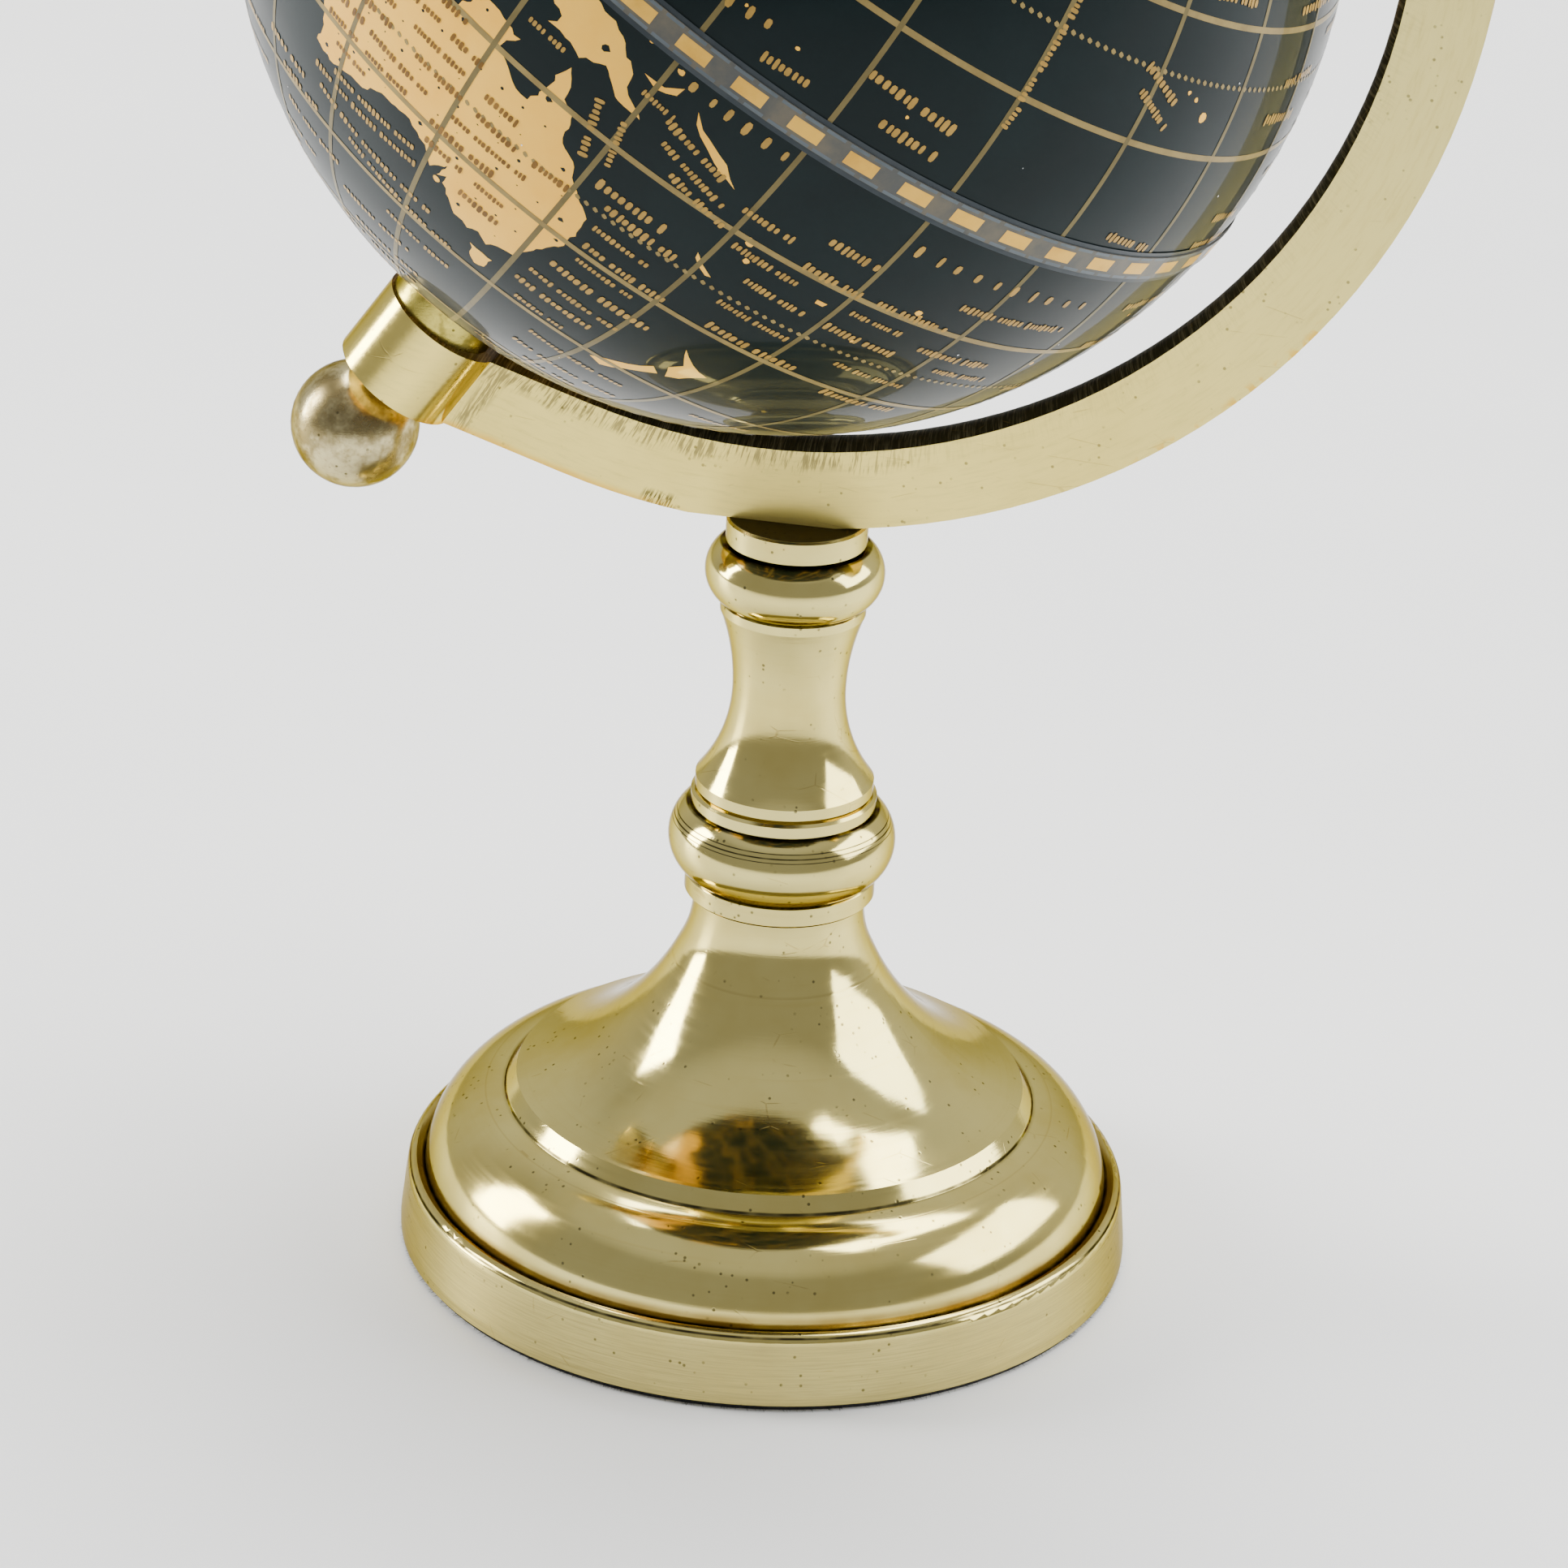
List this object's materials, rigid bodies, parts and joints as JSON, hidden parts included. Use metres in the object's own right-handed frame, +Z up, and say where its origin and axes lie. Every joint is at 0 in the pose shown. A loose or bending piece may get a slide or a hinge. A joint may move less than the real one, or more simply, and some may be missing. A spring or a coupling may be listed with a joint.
{
  "type": "desk globe",
  "caption": "Desk globe: a dark printed ball turns on a tilted axle held by a half-round brass arm on a turned brass pillar with a bell-shaped base.",
  "frame": {"origin": "centre of the felt's bottom face, on the pillar axis", "axes": "+Z up the pillar; the arm and the tilted axle lie in the XZ plane, with the arm's open side towards -X and the north pole towards +X"},
  "size_m": [0.1731, 0.153, 0.3086],
  "materials": {
    "polished_brass": "turned and polished, lathe lines, lacquered",
    "satin_brass": "satin, filed edges",
    "aged_brass": "brushed and tarnished",
    "zinc_steel": "zinc plated",
    "black_felt": "wool felt",
    "cover_board": "pressed fibre board",
    "printed_sea": "printed map under gloss lacquer",
    "equator_tape": "printed tape under gloss lacquer",
    "bare_plastic": "moulded, unpainted",
    "grey_tube": "extruded tube"
  },
  "bodies": {
    "stand": {"felt_pad": "black_felt", "base_cover": "cover_board", "base_bell": "polished_brass", "base_washer": "zinc_steel", "base_nut": "zinc_steel", "tie_rod": "zinc_steel", "lower_collar": "polished_brass", "lower_bead": "polished_brass", "waist_column": "polished_brass", "upper_bead": "polished_brass", "top_collar": "polished_brass", "meridian_arm": "satin_brass", "south_spacer": "aged_brass", "north_spacer": "aged_brass", "axle_rod": "zinc_steel", "pole_washers": "satin_brass", "finial_nuts": "aged_brass"},
    "globe": {"globe_shell_north": "printed_sea", "globe_shell_south": "printed_sea", "equator_band": "equator_tape", "joining_ring": "bare_plastic", "core_tube": "grey_tube", "south_bushing": "bare_plastic", "north_bushing": "bare_plastic"}
  },
  "joints": [
    {"name": "globe_spin", "type": "hinge", "parent": "stand", "child": "globe", "pos_m": [-0.00525, 0, 0.20875], "axis": [0.5657, 0, 0.8246], "continuous": true}
  ]
}
